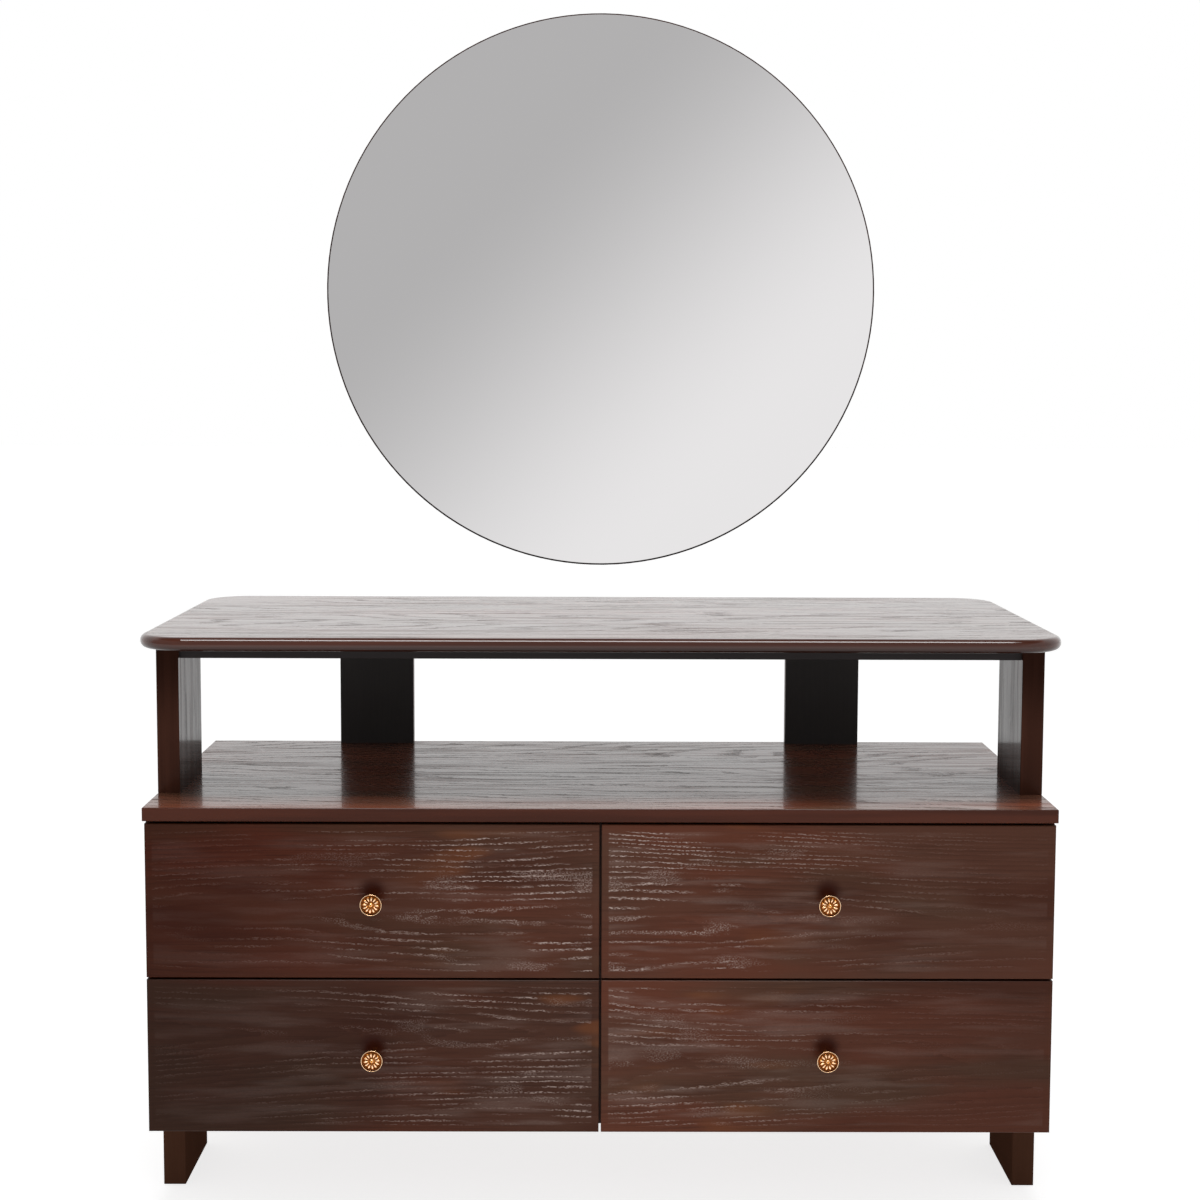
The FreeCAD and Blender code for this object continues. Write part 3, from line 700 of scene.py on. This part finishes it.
def camera():
    data = bpy.data.cameras.new("photoCamera")
    data.sensor_width = view["sensor"]
    data.lens = view["focal"] / view["frame"] * view["sensor"]
    data.shift_x = (view["frame"] / 2 - view["axis"][0]) / view["frame"]
    data.shift_y = (view["axis"][1] - view["frame"] / 2) / view["frame"]
    data.clip_start, data.clip_end = view["clip"]
    held = link("photoCamera", data)
    turn = Matrix.Rotation(view["yaw"], 3, "Z") @ Matrix.Rotation(view["pitch"], 3, "X")
    ahead = turn @ Vector((0, 1, 0))
    right = turn @ Vector((1, 0, 0))
    up = turn @ Vector((0, 0, 1))
    c, s = math.cos(view["roll"]), math.sin(view["roll"])
    right, up = right * c + up * s, up * c - right * s
    held.matrix_world = Matrix((right, up, -ahead)).transposed().to_4x4()
    held.location = view["place"]
    bpy.context.scene.camera = held


camera()

# studio: pale floor, pale surroundings and one soft lamp
# paleShadow is the share of the floor's shadow that the camera doesn't see

studio = {
    "floorFront": -5.0, "floorBack": 40.0, "floorSide": 30.0, "floorLevel": -0.0005,
    "floorColour": rgb(0.88, 0.88, 0.88), "floorGlow": 0.56, "paleShadow": 0.5,
    "behind": 1.0, "behindFrom": (-0.1, 0.15),
    "shadeLow": 0.457, "shadeHigh": 0.824, "shadeSlope": (-0.16, 0.10),  # what the mirror shows
    "dimCeiling": 0.8, "ceilingFrom": (0.66, 0.84),
    "lampPlace": (0, -0.9, 2.8), "lampAim": (0, -0.2, 0.6), "lampSize": (2.0, 0.7), "lampPower": 56,
}


def floor():
    centre = (studio["floorBack"] + studio["floorFront"]) / 2
    reach = (studio["floorBack"] - studio["floorFront"]) / 2
    shape = bmesh.new()
    bmesh.ops.create_grid(shape, x_segments=1, y_segments=1, size=1)
    bmesh.ops.scale(shape, vec=(studio["floorSide"], reach, 1), verts=shape.verts)
    bmesh.ops.translate(shape, vec=(0, centre, studio["floorLevel"]), verts=shape.verts)
    mesh = bpy.data.meshes.new("studioFloor")
    shape.to_mesh(mesh)
    shape.free()
    finish = Finish("studioFloor")
    lit = finish.node("ShaderNodeBsdfPrincipled", {},
                      {"Base Color": studio["floorColour"], "Roughness": 0.9, "Specular IOR Level": 0.1,
                       "Emission Color": rgb(1, 1, 1), "Emission Strength": studio["floorGlow"]}, "BSDF")
    white = finish.node("ShaderNodeEmission", {}, {"Color": rgb(1, 1, 1), "Strength": 1.0}, "Emission")
    seen = finish.node("ShaderNodeLightPath", output="Is Camera Ray")
    paler = seen * studio["paleShadow"]
    finish.output(finish.node("ShaderNodeMixShader", {}, {0: paler, 1: lit, 2: white}))
    mesh.materials.append(finish.made)
    link("studioFloor", mesh)


def surroundings():
    # white to the camera and behind the dresser, shaded in front of it and above
    finish = Finish("studio", "worlds")
    bpy.context.scene.world = finish.made
    x, y, z = finish.axes(finish.node("ShaderNodeTexCoord", output="Generated"))
    slope = (x - z) / (y * -1).math("MAXIMUM", 0.2)
    shade = studio["shadeHigh"] - studio["shadeLow"]
    front = slope.between(*studio["shadeSlope"]) * shade + studio["shadeLow"]
    back = y.between(*studio["behindFrom"])
    ceiling = z.between(*studio["ceilingFrom"])
    light = (front + (studio["behind"] - front) * back) * (1.0 - ceiling * studio["dimCeiling"])
    seen = finish.node("ShaderNodeLightPath", output="Is Camera Ray")
    level = light + (1.0 - light) * seen
    shader = finish.node("ShaderNodeBackground", {},
                         {"Color": finish.joined(level, level, level), "Strength": 1.0}, "Background")
    finish.output(shader, "World")


def softLamp():
    data = bpy.data.lights.new("overheadLamp", "AREA")
    data.shape = "RECTANGLE"
    data.size, data.size_y = studio["lampSize"]
    data.energy = studio["lampPower"]
    lamp = link("overheadLamp", data)
    lamp.location = studio["lampPlace"]
    lamp.rotation_mode = "QUATERNION"
    aim = Vector(studio["lampAim"]) - Vector(studio["lampPlace"])
    lamp.rotation_quaternion = aim.to_track_quat("-Z", "Y")


floor()
surroundings()
softLamp()
for name in ("mirror_glass", "mirror_board"):
    nodes[name].visible_glossy = False  # the top board mirrors only the studio
bpy.context.scene.view_settings.view_transform = "Standard"
print("studio done")
